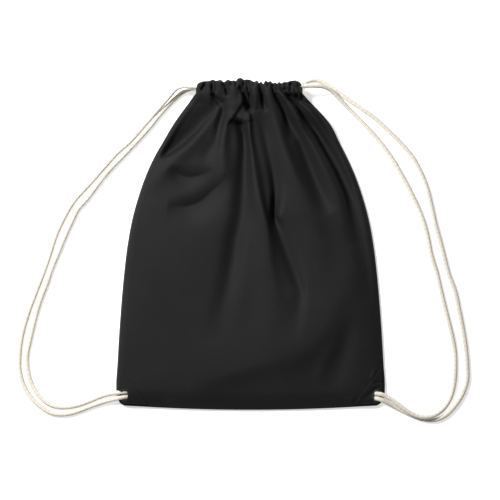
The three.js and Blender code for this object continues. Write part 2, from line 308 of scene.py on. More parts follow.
def cotton_material():
    """Black plain-weave cotton: the weave lies on the flat cut, so it follows every fold."""
    dark, light, fluff = (0.0066, 0.0066, 0.007), (0.0105, 0.0105, 0.0111), (0.06, 0.06, 0.062)
    material, nodes, links = new_material("black_cotton")
    shader = nodes["Principled BSDF"]
    parts = nodes.new("ShaderNodeSeparateXYZ")
    links.new(nodes.new("ShaderNodeUVMap").outputs["UV"], parts.inputs[0])
    warp = waves(nodes, links, parts.outputs[0])
    weft = waves(nodes, links, parts.outputs[1])
    weave = math_node(nodes, links, "MULTIPLY", warp, weft)
    place = nodes.new("ShaderNodeTexCoord").outputs["Object"]
    cloudy = noise_node(nodes, links, place, 11, 4)
    slub = noise_node(nodes, links, place, 420, 4, 0.7)
    lint = noise_node(nodes, links, place, 1500, 2, 0.6)
    broad = math_node(nodes, links, "MULTIPLY", cloudy, 0.55)
    fine = math_node(nodes, links, "MULTIPLY", slub, 0.45)
    tone = math_node(nodes, links, "ADD", broad, fine)
    cloth = mix_colors(nodes, links, ramp(nodes, links, tone, 0.36, 0.64), dark, light)
    linty = mix_colors(nodes, links, ramp(nodes, links, lint, 0.68, 0.86), cloth, fluff)
    links.new(linty, shader.inputs["Base Color"])
    links.new(ramp(nodes, links, slub, -3.0, 2.1), shader.inputs["Roughness"])
    shader.inputs["Specular IOR Level"].default_value = 0.17
    shader.inputs["Sheen Weight"].default_value = 0.015
    shader.inputs["Sheen Roughness"].default_value = 0.45
    soft = bump_node(nodes, links, slub, 0.12 * MM, 0.7)
    woven = bump_node(nodes, links, weave, 0.05 * MM, 0.8, soft)
    links.new(woven, shader.inputs["Normal"])
    return material


def cord_material():
    """Undyed braided cotton, pale on the crowns of the braid; the warmer, darker colour in its grooves is
    painted shade.
    """
    cream, pale = (0.76, 0.715, 0.635), (0.82, 0.79, 0.725)
    fleck, shade = (0.68, 0.61, 0.5), (0.6, 0.54, 0.45)
    material, nodes, links = new_material("cord_cotton")
    shader = nodes["Principled BSDF"]
    groove = nodes.new("ShaderNodeAttribute")
    groove.attribute_name = "groove"
    place = nodes.new("ShaderNodeTexCoord").outputs["Object"]
    blotch = noise_node(nodes, links, place, 38, 3)
    fibre = noise_node(nodes, links, place, 1900, 3, 0.7)
    base = mix_colors(nodes, links, ramp(nodes, links, blotch, 0.35, 0.65), cream, pale)
    flecked = mix_colors(nodes, links, ramp(nodes, links, fibre, 0.6, 0.82), base, fleck)
    # painted shade: the colour is darkened towards the shade colour by the groove depth
    groove_shaded = mix_colors(nodes, links, groove.outputs["Fac"], flecked, shade)
    links.new(groove_shaded, shader.inputs["Base Color"])
    shader.inputs["Roughness"].default_value = 0.88
    shader.inputs["Specular IOR Level"].default_value = 0.25
    shader.inputs["Sheen Weight"].default_value = 0.15
    shader.inputs["Sheen Roughness"].default_value = 0.5
    links.new(bump_node(nodes, links, fibre, 0.25 * MM, 0.7), shader.inputs["Normal"])
    return material


def thread_material():
    """Black sewing thread, a little glossier than the cloth."""
    dark, light = (0.005, 0.005, 0.0055), (0.011, 0.011, 0.012)
    material, nodes, links = new_material("thread")
    shader = nodes["Principled BSDF"]
    place = nodes.new("ShaderNodeTexCoord").outputs["Object"]
    twist = noise_node(nodes, links, place, 2400, 2)
    color = mix_colors(nodes, links, ramp(nodes, links, twist, 0.35, 0.65), dark, light)
    links.new(color, shader.inputs["Base Color"])
    shader.inputs["Roughness"].default_value = 0.5
    links.new(bump_node(nodes, links, twist, 0.08 * MM, 0.6), shader.inputs["Normal"])
    return material


def floor_material():
    """Plain white paper that glows a little, so that it stays white beside the black cloth."""
    material, nodes, links = new_material("floor")
    shader = nodes["Principled BSDF"]
    shader.inputs["Base Color"].default_value = (0.86, 0.86, 0.86, 1)
    shader.inputs["Emission Color"].default_value = (1, 1, 1, 1)
    shader.inputs["Emission Strength"].default_value = 0.55
    shader.inputs["Roughness"].default_value = 0.9
    shader.inputs["Specular IOR Level"].default_value = 0.1
    return material


# ------------------------------------------------------------------ cords

# The routes of the four strands, in millimetres, as the frame's straps lie.
STRANDS = {
    "left_strap_outer": [
        (-71.3, 211.9, 22.75), (-80, 212.2, 22.4), (-89, 212.9, 20.2), (-99.5, 209.9, 15.6),
        (-111.2, 197.8, 10.2), (-128.5, 178.9, 5.2), (-145.9, 159.3, 3.3), (-164.6, 138.4, 3.05),
        (-180.1, 124.7, 3.05), (-197.2, 105.8, 3.05), (-214.5, 86, 3.05), (-235.1, 63.6, 3.05),
        (-245.8, 48.3, 3.05), (-257.5, 25.9, 3.05), (-265.2, 7, 3.05), (-272.3, -15.6, 3.05),
        (-281.3, -41.4, 3.05), (-291.3, -67.1, 3.05), (-300.7, -93, 3.05), (-308.4, -120.5, 3.05),
        (-312.2, -148, 3.05), (-311.9, -170.4, 3.05), (-305.8, -191, 3.05), (-294.7, -208.1, 3.05),
        (-280.9, -220.3, 3.05), (-268.9, -227.1, 3.05), (-255.2, -228.8, 3.05), (-241.4, -227.1, 3.05),
        (-217.3, -218.5, 3.05), (-203, -213.3, 3.4), (-191, -209.6, 5.4), (-182, -207.2, 8.2),
        (-176.5, -205.8, 9.2), (-171, -205.3, 7.6), (-165.5, -205.2, 4.6), (-157.5, -205.2, 3.9),
    ],
    "left_strap_inner": [
        (-71.3, 211.9, 4.75), (-80, 211.2, 4.5), (-90, 207.6, 3.6), (-101, 199, 3.05),
        (-119.4, 180.2, 3.05), (-137.9, 157.6, 3.05), (-155.6, 138, 3.05), (-174.8, 117.8, 3.05),
        (-192.1, 99.8, 3.05), (-205.8, 82.6, 3.05), (-221.3, 62, 3.05), (-233.3, 48.3, 3.05),
        (-241, 32.8, 3.05), (-249.7, 13.9, 3.05), (-262.6, -17.4, 3.05), (-268.9, -32.8, 3.05),
        (-275.2, -51.8, 3.05), (-284.4, -75.8, 3.05), (-291.3, -99.9, 3.05), (-298.2, -129.1, 3.05),
        (-302, -148, 3.05), (-301.5, -166.9, 3.05), (-296.4, -185.9, 3.05), (-287.8, -201.3, 3.05),
        (-277.5, -211.6, 3.05), (-265.4, -217.7, 3.05), (-251.7, -219.3, 3.05), (-234.6, -216.8, 3.05),
        (-217.3, -210.8, 3.05), (-203, -204.8, 3.4), (-191, -201.1, 5.4), (-182, -199.4, 8.2),
        (-176.5, -198.8, 9.2), (-171, -198.7, 7.6), (-165.5, -198.7, 4.6), (-157.5, -198.7, 3.9),
    ],
    "right_strap_outer": [
        (71.3, 218.3, 4.75), (79, 221.8, 4.4), (88.5, 223.3, 3.6), (99, 219.4, 3.05),
        (112, 210.9, 3.05), (127.5, 199.7, 3.05), (146.4, 186.6, 3.05), (167, 172, 3.05),
        (185.9, 154.8, 3.05), (203.1, 137.6, 3.05), (218.6, 118.8, 3.05), (230.6, 96.4, 3.05),
        (239.3, 74, 3.05), (244.6, 51.6, 3.05), (249.6, 29.3, 3.05), (254.8, 10.4, 3.05),
        (261.6, -15.6, 3.05), (267.4, -38, 3.05), (276.2, -62, 3.05), (281.9, -87.9, 3.05),
        (286.9, -113.6, 3.05), (290.9, -139.4, 3.05), (292.9, -165.3, 3.05), (292.7, -182.4, 3.05),
        (286.6, -201.3, 3.05), (275.4, -218.5, 3.05), (261.6, -231.5, 3.05), (247.9, -236.4, 3.05),
        (234.1, -235.6, 3.05), (216.9, -229.7, 3.05), (202, -222.3, 3.4), (191, -216.2, 5.4),
        (182, -211.4, 8.2), (176.5, -208.6, 9.2), (171, -207.1, 7.6), (165.5, -206.7, 4.6),
        (157.5, -206.7, 3.9),
    ],
    "right_strap_inner": [
        (71.3, 212.7, 22.75), (80, 213.3, 22.4), (90, 213.2, 20.6), (99.5, 212, 17.4),
        (109.5, 207.2, 13), (119.4, 197.3, 8.4), (136, 180.6, 4), (153.3, 163.4, 3.05),
        (170.4, 144.5, 3.05), (187.6, 122.1, 3.05), (203.1, 96.4, 3.05), (216.9, 70.5, 3.05),
        (228.9, 44.8, 3.05), (237.5, 19, 3.05), (244.4, -13.9, 3.05), (251.3, -36.3, 3.05),
        (258.1, -65.5, 3.05), (265, -93, 3.05), (271.9, -120.5, 3.05), (276.2, -144.5, 3.05),
        (276.7, -170.4, 3.05), (274.6, -191, 3.05), (268.5, -209.9, 3.05), (258.8, -222.6, 4.4),
        (245, -230.6, 8.2), (230, -231.4, 9.6), (216, -226.2, 9.6), (203.1, -217.6, 9.2),
        (192, -209.2, 8.4), (182, -203.8, 8.4), (176.5, -201.3, 9.2), (171, -200.3, 7.6),
        (165.5, -200.2, 4.6), (157.5, -200.2, 3.9),
    ],
}


def between(a, b, t, t_a, t_b):
    """The value at t on the straight line from a at t_a to b at t_b."""
    return a + (b - a) * (t - t_a) / (t_b - t_a)


def route(points, step):
    """Points a step apart along the centripetal Catmull-Rom curve through the route's points."""
    p = np.array(points, float)
    p = np.vstack([2 * p[0] - p[1], p, 2 * p[-1] - p[-2]])
    fine = []
    for a, b, c, d in zip(p, p[1:], p[2:], p[3:]):
        spans = [max(np.linalg.norm(leg), 1e-9) ** 0.5 for leg in (b - a, c - b, d - c)]
        t_a, t_b, t_c, t_d = np.cumsum([0, *spans])
        for t in np.linspace(t_b, t_c, 24, endpoint=False):
            ab = between(a, b, t, t_a, t_b)
            bc = between(b, c, t, t_b, t_c)
            cd = between(c, d, t, t_c, t_d)
            abc = between(ab, bc, t, t_a, t_c)
            bcd = between(bc, cd, t, t_b, t_d)
            fine.append(between(abc, bcd, t, t_b, t_c))
    fine.append(p[-2])
    fine = np.array(fine)
    along = distance_along(fine)
    count = max(4, int(round(along[-1] / step)) + 1)
    at = np.linspace(0, along[-1], count)
    return np.stack([np.interp(at, along, column) for column in fine.T], 1)


PLAITS = 6                      # ridges round the braid
LAY = 11 * MM                   # length in which a plait goes once round


def braided_tube(name, line, radius, material, sides=18):
    """A round braid along a line: two families of strands that cross, each a low ridge."""
    tangent = unit(np.gradient(line, axis=0))
    normal = np.zeros_like(line)
    normal[0] = unit(np.cross(tangent[0], (0.1, 0.2, 1)))
    for i in range(1, len(line)):
        normal[i] = unit(normal[i - 1] - tangent[i] * (normal[i - 1] @ tangent[i]))
    side = np.cross(tangent, normal)
    along = distance_along(line)
    angle = np.linspace(0, 2 * math.pi, sides, endpoint=False)
    turn = 2 * math.pi * along[:, None] / LAY
    leftward = np.abs(np.cos(PLAITS / 2 * (angle[None] + turn)))
    rightward = np.abs(np.cos(PLAITS / 2 * (angle[None] - turn)))
    crown = np.maximum(leftward, rightward)
    groove = np.clip((1 - crown) * 3.2, 0, 1) ** 1.3
    ring = radius * (1.02 - 0.11 * groove)
    around = np.cos(angle)[None, :, None] * normal[:, None] + np.sin(angle)[None, :, None] * side[:, None]
    points = line[:, None] + ring[..., None] * around
    faces = [tuple(f) for f in grid_faces(len(line), sides, wrap=True)[:, ::-1]]
    faces.append(tuple(range(sides)))
    faces.append(tuple(range(len(line) * sides - 1, (len(line) - 1) * sides - 1, -1)))
    tube = mesh_object(name, points.reshape(-1, 3), faces, material)
    # the groove depth also goes to the cord's material, which darkens the grooves with it: painted shade
    set_value(tube, "groove", groove.ravel())
    return tube


def make_strands(material):
    """The four strands that lie free; their transforms are baked, and they do not go with the hem."""
    lines = {}
    sides = 28
    for name, points in STRANDS.items():
        line = route(np.array(points) * MM, 0.8 * MM)
        lines[name] = line
        tube = braided_tube(name + "_cord", line, CORD_DIAMETER / 2, material, sides)
        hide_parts(name)
        side = -1 if name.startswith("left") else 1
        along = distance_along(line)
        share = np.repeat(along / along[-1], sides)
        follow_hem(tube, side * (1 - ease(share, 0, 0.8)))
    return lines


HELD_RADIUS = 2.6 * MM          # a cord squeezed inside the hem
LEFT_EXIT_Y = 211.9             # in millimetres, where the cords leave the hem's ends
RIGHT_EXIT_Y = 218.3


def make_held_cords(material):
    """The stretches of both cords inside the hem, and the bights in which they turn back at its far end."""
    front, back = FRONT_HEM_Z / MM, BACK_HEM_Z / MM
    inside = front - 4.4
    runs = {
        "left_cord_front_run": [
            (-71, LEFT_EXIT_Y, front), (-67, 210, 20.4), (-60, 206.6, inside), (0, 205.9, inside),
            (60, 205.9, inside),
        ],
        "left_cord_back_run": [
            (-71, LEFT_EXIT_Y, back), (-60, 206.6, back), (0, 206, back), (60, 205.9, back),
        ],
        "right_cord_front_run": [
            (-60, 211.8, inside), (0, 211.4, inside), (60, 211.4, inside), (67, 212.2, 20.4),
            (71, 212.7, front),
        ],
        "right_cord_back_run": [
            (-60, 211.8, back), (0, 211.4, back), (60, 211.8, back), (71, RIGHT_EXIT_Y, back),
        ],
    }
    for name, points in runs.items():
        line = route(np.array(points) * MM, 1.2 * MM)
        tube = braided_tube(name + "_cord", line, HELD_RADIUS, material, sides=16)
        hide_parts(name)
        follow_hem(tube, places(tube)[:, 0] / (71 * MM))
    bights = {
        "left_cord_bight": ("hem_right", [
            (60, 205.9, inside), (64.5, 206.2, 19.5), (66, 206.5, 13), (64.5, 206.2, 6.5), (60, 205.9, back),
        ]),
        "right_cord_bight": ("hem_left", [
            (-60, 211.8, inside), (-65, 211.8, 19.5), (-67, 211.8, 13), (-65, 211.8, 6.5), (-60, 211.8, back),
        ]),
    }
    for name, (body, points) in bights.items():
        line = route(np.array(points) * MM, 0.8 * MM)
        tube = braided_tube(name + "_cord", line, HELD_RADIUS, material, sides=20)
        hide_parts(name)
        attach(tube, body)


# ------------------------------------------------------------------ the cloth

COLUMNS = int(round(2 * CUT_HALF_WIDTH / GRID)) + 1
ROWS = int(round(CUT_LENGTH / GRID)) + 1

# The front panel's height over the floor up the middle of the bag, in millimetres.
FRONT_CROWN = [
    (-222, 10), (-212, 11.5), (-200, 13.5), (-185, 14.5), (-150, 15), (-60, 16), (40, 17), (100, 18),
    (150, 20.5), (172, 23), (188, 26), (203, 28), (226, 28),
]

# Sharp tucks and soft folds of the front panel as it lies. A fold is a line of points, each
# (x, y, height, width on its left, width on its right) in millimetres, from its upper end.
TUCKS = [
    [(37, 208, -3, 2.4, 2.4), (47, 204, -9, 2.6, 2.8), (55, 195, -14, 2.8, 3.2),
     (63, 189, -16, 3, 3.6), (73, 173, -17, 3.2, 4), (88, 154, -17, 3.4, 4.5),
     (103, 129, -16, 3.6, 5), (119, 100, -13, 4, 6), (133, 66, -9, 5, 7), (141, 31, -6, 7, 9),
     (149, -4, -4, 8, 9), (156, -40, -3, 8, 9), (161, -81, 0, 8, 9)],
    [(52, 202, -4, 1.8, 2.2), (61, 198, -9, 2.4, 2.8), (72, 193, -12, 3, 3.4),
     (86, 185, -11, 3.5, 4.2), (99, 168, -8, 4, 5), (113, 142, -5, 5, 7), (126, 108, 0, 6, 8)],
    [(29, 214, -5, 1.8, 1.8), (34, 200, -9, 2.2, 2.3), (42, 187, -11, 2.4, 2.6),
     (48, 173, -9, 2.6, 3), (53, 158, -5, 4, 5), (59, 139, 0, 6, 7)],
    [(49, 171, 0, 4, 5), (64, 148, -6, 5, 7), (75, 120, -7.5, 6, 7), (87, 88, -6.5, 7, 6),
     (99, 61, -4.5, 8, 6), (109, 43, 0, 8, 6)],
    [(13, 214, -7, 1.6, 1.6), (16, 200, -9, 1.8, 1.9), (18, 187, -6, 2, 2.2), (22, 179, 0, 3, 3)],
    [(-14, 210, -5, 1.6, 1.8), (-9, 205, -9, 2, 2.2), (-5, 191, -12, 2.6, 2.6),
     (-2, 181, -11, 2.6, 2.3)],
    [(-5, 216, -6, 1.5, 1.5), (-2, 206, -8, 1.6, 1.7), (0, 194, -9, 1.8, 2.2),
     (0, 186, -8, 2.2, 2.5)],
    [(-35, 218, -6, 1.6, 1.6), (-31, 206, -7, 1.6, 1.6), (-32, 197, 0, 2, 2)],
    [(-51, 222, -6, 1.5, 1.5), (-51, 210, -5, 1.5, 1.6), (-51, 204, 0, 1.5, 1.6)],
    [(-45, 218, -6, 1.5, 1.5), (-46, 209, -5, 1.6, 1.6), (-49, 201, 0, 1.8, 1.8)],
    [(-52, 201, -4, 1.6, 1.6), (-46, 196, -6, 1.8, 1.8), (-42, 191, -4, 1.8, 1.8),
     (-41, 185, 0, 2.2, 2.2)],
    [(-59, 218, -5, 1.2, 1.2), (-65, 208, -3.5, 1.2, 1.5)],
    [(44, 217, -3.5, 1, 1), (48, 209, -4.5, 1, 1), (52, 202, -2, 1, 1)],
    [(53, 214, -5, 1.4, 1.4), (55, 205, -6, 1.6, 1.6)],
    [(57, 216, -5, 1.4, 1.4), (60, 208, -7, 1.5, 1.5), (63, 201, -5, 1.8, 1.8)],
    [(65, 217, -5, 1.4, 1.4), (66, 208, -7, 1.6, 1.8), (71, 198, -6, 2, 2)],
    [(180, -187, -1, 1.5, 1.2), (173, -185, -2.5, 1.5, 1.2), (165, -187, 0, 1.5, 1.2)],
    [(179, -195, -1, 1.2, 1.2), (172, -192, -2.5, 1.5, 1.2), (166, -197, -2.5, 2, 1.5),
     (158, -205, -3.5, 2.5, 2), (149, -210, 0, 3, 3)],
]
FOLDS = [
    [(-42, 191, -2, 8, 3), (-53, 178, -6, 11, 3.5), (-64, 166, -8, 13, 3.8),
     (-75, 154, -9.5, 13, 4), (-90, 140, -11, 12, 4), (-104, 129, -10.5, 9, 3.5),
     (-115, 122, -7, 6, 3), (-122, 119, -2, 3, 2.5)],
    [(-37, 191, -4, 3, 3), (-37, 178, -6, 4, 4), (-41, 162, -6, 4, 4), (-44, 146, -3, 4, 4),
     (-47, 124, 0, 5, 5)],
    [(-47, 144, 0, 6, 6), (-57, 124, -2.5, 6, 6), (-63, 106, 0, 6, 6)],
    [(-29, 179, 0, 4, 4), (-32, 166, 3.5, 5, 4), (-36, 144, 5, 5, 5), (-37, 112, 5, 6, 7),
     (-32, 74, 3, 7, 8), (-28, 50, 0, 8, 8)],
    [(-13, 162, -9, 5, 3), (-9, 148, -11, 5, 3), (-8, 133, -8, 5, 4), (-9, 108, -7.5, 6, 5),
     (-10, 74, -7, 7, 7), (-13, 40, -7, 8, 8), (-20, 7, -7.5, 9, 8), (-24, -23, -7, 9, 8),
     (-30, -54, -5, 9, 9), (-38, -88, -3, 10, 10), (-47, -135, 0, 12, 12)],
    [(-7, 166, 2.5, 6, 2), (-17, 166, 3.5, 6, 2), (-26, 170, 3, 4, 2)],
    [(-9, 195, 3, 5, 2), (-18, 182, 3.5, 6, 2), (-26, 169, 3.5, 5, 2)],
    [(-3, 179, 3, 2, 2), (-2, 162, 4.5, 2, 2.5), (-1, 142, 5.5, 2.5, 3), (2, 121, 5.5, 3, 4),
     (6, 94, 6.5, 5, 5), (11, 67, 8, 7, 4.5), (17, 44, 8.5, 9, 3.5), (21, 26, 7.5, 11, 4),
     (24, 0, 6.5, 13, 6), (26, -23, 5.5, 14, 7), (30, -47, 4, 15, 8), (32, -88, 2.5, 17, 12),
     (16, -142, 0, 18, 14)],
    [(10, 177, 0, 5, 5), (18, 155, -3.5, 5, 6), (24, 125, -4, 4, 6), (30, 98, -6, 4, 6),
     (33, 71, -8.5, 3.5, 6), (32, 51, -12, 3, 4.5), (32, 38, -12, 3, 3.2), (37, 22, -7, 4.5, 6),
     (45, 0, -5.5, 5, 7), (55, -26, -5.5, 6, 7), (64, -49, -5.5, 7, 5), (68, -62, -4, 7, 4),
     (65, -88, -2, 8, 5), (57, -131, 0, 8, 5)],
    [(24, 217, 1.5, 4, 4), (25, 202, 3, 5, 5), (30, 182, 4, 5, 6), (37, 155, 6, 6, 6),
     (47, 125, 7, 8, 6), (59, 94, 6.5, 9, 7), (71, 67, 5, 11, 9), (82, 36, 3.5, 14, 11),
     (91, -7, 2.5, 16, 12), (96, -61, 0, 16, 12)],
    [(40, 205, 3, 2, 2), (49, 193, 5.5, 3, 2.5), (59, 177, 7, 4, 3), (69, 155, 7.5, 5, 3),
     (84, 131, 7.5, 7, 4), (100, 104, 7, 8, 4.5), (115, 74, 5, 10, 6), (126, 40, 3, 11, 8),
     (134, 0, 0, 12, 10)],
    [(-69, 217, 2, 3, 3), (-69, 200, 0, 3, 4)],
    [(-56, 216, 3, 3, 2), (-54, 202, 3.5, 3, 2.2), (-53, 186, 0, 3, 3)],
    [(-41, 218, 3, 4, 4), (-40, 201, 0, 4, 4)],
    [(-21, 212, 3.5, 5, 4), (-22, 190, 2, 6, 4)],
    [(6, 212, 3.5, 4, 4), (6, 190, 3, 4, 4), (7, 181, 0, 4, 4)],
    [(134, 7, 0, 30, 14), (125, -47, 3, 32, 17), (110, -85, 5.5, 34, 18), (91, -119, 6.5, 34, 18),
     (64, -142, 6.5, 34, 17), (16, -156, 6, 34, 15), (-38, -173, 4.5, 34, 13),
     (-87, -193, 0, 30, 12)],
    [(-135, 66, 0, 8, 8), (-125, 88, 2, 8, 8), (-104, 111, 3, 8, 7), (-82, 133, 3, 7, 6),
     (-63, 155, 2, 6, 5), (-53, 174, 0, 5, 5)],
    [(137, -98, 0, 8, 8), (126, -135, -2, 8, 8), (117, -171, -2, 9, 9), (107, -198, 0, 9, 9)],
    [(121, -135, 0, 6, 6), (107, -144, 1, 6, 5), (96, -166, 1, 6, 5), (91, -187, 0, 6, 6)],
    [(169, -167, 0, 2, 2), (165, -174, 1.6, 2, 2), (161, -183, 0, 2, 2)],
    [(142, -204, 0, 3, 3), (134, -210, 2.4, 3, 3), (126, -218, 2, 3, 3)],
    [(-114, -206, -1, 6, 3), (-114, -214, -2.5, 5, 3)],
]
# Where the cloth sags over a fold beneath it: it slopes down to the line from the left, and is flat beyond.
SCARPS = [
    [(-47, 102, 0, 5, 10), (-59, 97, -2.5, 5.5, 11), (-72, 93, -5, 6, 12), (-86, 92, -6, 6, 12),
     (-96, 96, -5, 5, 10), (-103, 101, -2.5, 4, 8), (-107, 106, 0, 3, 6)],
    [(-29, 96, 0, 5, 10), (-38, 85, -3.5, 6, 12), (-52, 73, -6, 7.5, 14), (-68, 59, -7.5, 8, 15),
     (-84, 53, -7, 7.5, 14), (-98, 52, -4, 6, 11), (-111, 55, 0, 4, 8)],
]

# The hem's top edge across the bag, in millimetres.
HEM_TOP = [
    (-72.8, 209), (-71.4, 214.3), (-69.4, 217), (-64, 219.1), (-54.6, 219.7), (-50.6, 221.7),
    (-46.5, 219.7), (-39.8, 221.1), (-35.7, 217.7), (-30.3, 221.7), (-26.3, 219.7), (-22.2, 220.4),
    (-19.5, 219.3), (-16.9, 223.1), (-12.8, 223.8), (-8.8, 221.1), (-4.7, 221.7), (-0.7, 221.1),
    (4.7, 218.4), (8.8, 220.4), (11.5, 216.4), (14.2, 219.1), (16.9, 215), (20.2, 220.4),
    (23.6, 217.7), (26.3, 219.7), (30.3, 216.1), (33, 217.7), (35.7, 215.7), (38.4, 218.4),
    (41.1, 216.2), (45.2, 218.4), (49.2, 218), (53.2, 219.7), (60, 220.4), (65.4, 218.4),
    (68.1, 215), (69.4, 209),
]
# Where the gathers dent the hem's top edge.
NOTCHES = [
    -60, -46.5, -35.7, -26, -19.5, -8.8, -1.5, 4.7, 11.5, 16.9, 23.6, 30.3, 35.7, 41.1, 47, 56, 64,
]

SIDES = {"left": -1, "right": 1}
KNOT_AT = (140 * MM, -191 * MM)         # the right knot; the left one mirrors it
HOLE_X = 169.5 * MM                     # the buttonholes, left and right of the middle
HOLE_Y = {"left": -202 * MM, "right": -203.5 * MM}
HOLE = (4.2 * MM, 7.2 * MM)             # half the opening
RIM = 1.8 * MM                          # width of the worked edge

SEAM_Z = 2 * MM                 # the side seams' height along most of the bag
STITCH_EDGE_Z = 24 * MM         # the front's height at the ends of its stitch line
FLOOR_GAP = 0.5 * MM            # least height of the back's middle surface
BACK_SEED = 0.37                # picks the back hem's gathers

FRONT_CORE_Z = 21 * MM          # the height that the front hem rolls round at its top edge
FRONT_OUTER_Z = 23 * MM         # least height of its outer layer, clear of the cords
FRONT_LINING_Z = 15 * MM        # its inner layer
BACK_LINING_Z = 9.6 * MM        # the back hem's inner layer
BACK_HEM_DEPTH = 3.6 * MM       # from the back hem's middle down to its outer layer
OUTER_ROLL = 5 * MM             # how far below the top edge the outer layer starts to roll over
INNER_ROLL = 4 * MM
HEM_SWELL = 5 * MM              # how far above the stitch line the hem is at its full depth
GATHERS_TOP_Y = 217.5 * MM      # above this line the hem keeps the shape that its gathers have here


def fold_relief(x, y, folds, scarp=False):
    """The height that the folds add at each place. A scarp meets its line at an angle on its left."""
    relief = np.zeros_like(x)
    for fold in folds:
        line = route(np.array(fold, float), 3 if scarp else 6)
        line[:, :2] *= MM
        reach = line[:, 3:].max() * MM * 3.2
        low, high = line[:, :2].min(0) - reach, line[:, :2].max(0) + reach
        near = (x > low[0]) & (x < high[0]) & (y > low[1]) & (y < high[1])
        px, py = x[near], y[near]
        nearest = np.full(px.shape, 1e9)
        height = np.zeros(px.shape)
        for a, b in zip(line, line[1:]):
            leg = b[:2] - a[:2]
            u = np.clip(((px - a[0]) * leg[0] + (py - a[1]) * leg[1]) / (leg @ leg), 0, 1)
            dx, dy = px - a[0] - u * leg[0], py - a[1] - u * leg[1]
            far = np.hypot(dx, dy)
            right = leg[0] * dy - leg[1] * dx > 0
            tall, left_width, right_width = a[2:, None] + (b - a)[2:, None] * u
            share = far / (np.where(right, right_width, left_width) * MM)
            shape = np.exp(-0.5 * share ** 2)
            if scarp:
                shape = np.where(right, shape, np.clip(1 - share / 3, 0, 1) ** 2)
            closer = far < nearest
            nearest = np.where(closer, far, nearest)
            height = np.where(closer, tall * MM * shape, height)
        relief[near] += height
    return relief


def rounded(share):
    """0 to 1 along a quarter of an ellipse."""
    return np.sqrt(np.maximum(1 - (1 - np.clip(share, 0, 1)) ** 2, 0))


def crown_side(x, y):
    """0 at the side seam, 1 over the middle: it rolls down close to the left seam, slower to the right one."""
    width = half_width(y, x > 0)
    inset = np.maximum(width - np.abs(x), 0)
    right_roll = (21 + 16 * (1 - ease(y, -0.1, 0.05))) * MM
    roll = np.where(x > 0, right_roll, 9 * MM)
    slope = np.where(x > 0, 34 * MM, 22 * MM)
    sharp = np.where(x > 0, 0.68, 0.8)
    side = sharp * rounded(inset / roll) + (1 - sharp) * (1 - np.exp(-inset / slope))
    return side * (1 - 0.16 * np.clip(np.abs(x - 12 * MM) / width, 0, 1) ** 2)


def seam_height(y):
    """The side seams lie on the floor and rise to the middle of the mouth."""
    return SEAM_Z + 9.5 * MM * ease(y, 0.12, 0.19)


def over_cord(x, y, z):
    """Lifts the front where a cord lies under it, from its buttonhole to its knot."""
    for name, sign in SIDES.items():
        start = np.array([sign * (HOLE_X - 6 * MM), HOLE_Y[name]])
        leg = np.array([sign * KNOT_AT[0], KNOT_AT[1]]) - start
        u = np.clip(((x - start[0]) * leg[0] + (y - start[1]) * leg[1]) / (leg @ leg), 0, 1)
        far = np.hypot(x - start[0] - u * leg[0], y - start[1] - u * leg[1]) / (13 * MM)
        lump = 1.5 * MM + 7 * MM * np.exp(-0.5 * far ** 2)
        z = (z + lump + np.hypot(z - lump, 2.4 * MM)) / 2
    return z


def front_height(x, y):
    """The front panel's height at (x, y): its crown, then its folds, then the cords beneath."""
    low = seam_height(y)
    low = low + (STITCH_EDGE_Z - low) * ease(y, SHOULDER_Y, STITCH_Y)
    top = through(y / MM, FRONT_CROWN) * MM
    base = low + (top - low) * crown_side(x, y)
    base = SEAM_Z + (base - SEAM_Z) * rounded((y - bottom_edge(x)) / (26 * MM)) ** 1.35
    inset = half_width(y, x > 0) - np.abs(x)
    free = ease(inset, 0, 14 * MM) * ease(y - bottom_edge(x), 0, 20 * MM)
    free = np.maximum(free, ease(y, 0.19, 0.2) * ease(inset, 0, 4 * MM))
    relief = fold_relief(x, y, FOLDS) + fold_relief(x, y, TUCKS) + fold_relief(x, y, SCARPS, scarp=True)
    for notch in NOTCHES:
        dent = np.exp(-0.5 * ((x - notch * MM) / (1.4 * MM)) ** 2)
        relief -= 5.5 * MM * dent * ease(y, 0.209, 0.2165)
    return over_cord(x, y, base + relief * free)


def ruffle(s, seed):
    """The back hem's gathers across the cut, up and down by about 1: fourteen, none quite like the next."""
    u = (s + CUT_HALF_WIDTH) / (2 * CUT_HALF_WIDTH)
    turn = 2 * math.pi
    phase = 13.6 * u + 0.22 * np.sin(turn * (3.1 * u + seed)) + 0.13 * np.sin(turn * (7.3 * u + 2 * seed))
    size = 0.8 + 0.25 * np.sin(turn * (2.3 * u + 0.4 + seed))
    return size * np.sin(turn * phase)


def back_height(x, y, s):
    """The back panel's height: flat on the floor, gathered towards the hem, up to the seams at its sides."""
    low = seam_height(y)
    low = low + (BACK_HEM_Z - low) * ease(y, SHOULDER_Y, STITCH_Y)
    inset = half_width(y, x > 0) - np.abs(x)
    flat = 0.6 * MM + (BACK_HEM_Z - 0.6 * MM) * ease(y, NECK_Y, STITCH_Y)
    z = low + (flat - low) * ease(inset, 0, 9 * MM)
    z += 2.2 * MM * ruffle(s, BACK_SEED) * ease(y, 0.1, 0.19) * ease(inset, 0, 8 * MM)
    lower = ease(y, -0.06, 0.08) * (1 - ease(y, 0.1, 0.17)) * ease(inset, 0, 14 * MM)
    z += 1.5 * MM * ruffle(s * 0.45, 0.1) * lower
    return np.maximum(z, FLOOR_GAP)


def hem_across(s):
    """Where a place on the cut lies across the gathered hem."""
    return HEM_LEFT_X + (HEM_RIGHT_X - HEM_LEFT_X) * (s + CUT_HALF_WIDTH) / (2 * CUT_HALF_WIDTH)


def hem_top(x, front):
    """The hem's top edge; the back's is a little lower and covers the cords all along."""
    at, height = np.array(HEM_TOP).T
    top = np.interp(x / MM, at, height) * MM
    if front:
        return top
    lower = top - 1.5 * MM
    return np.where(np.abs(x) < 66 * MM, np.maximum(lower, 217 * MM), lower)


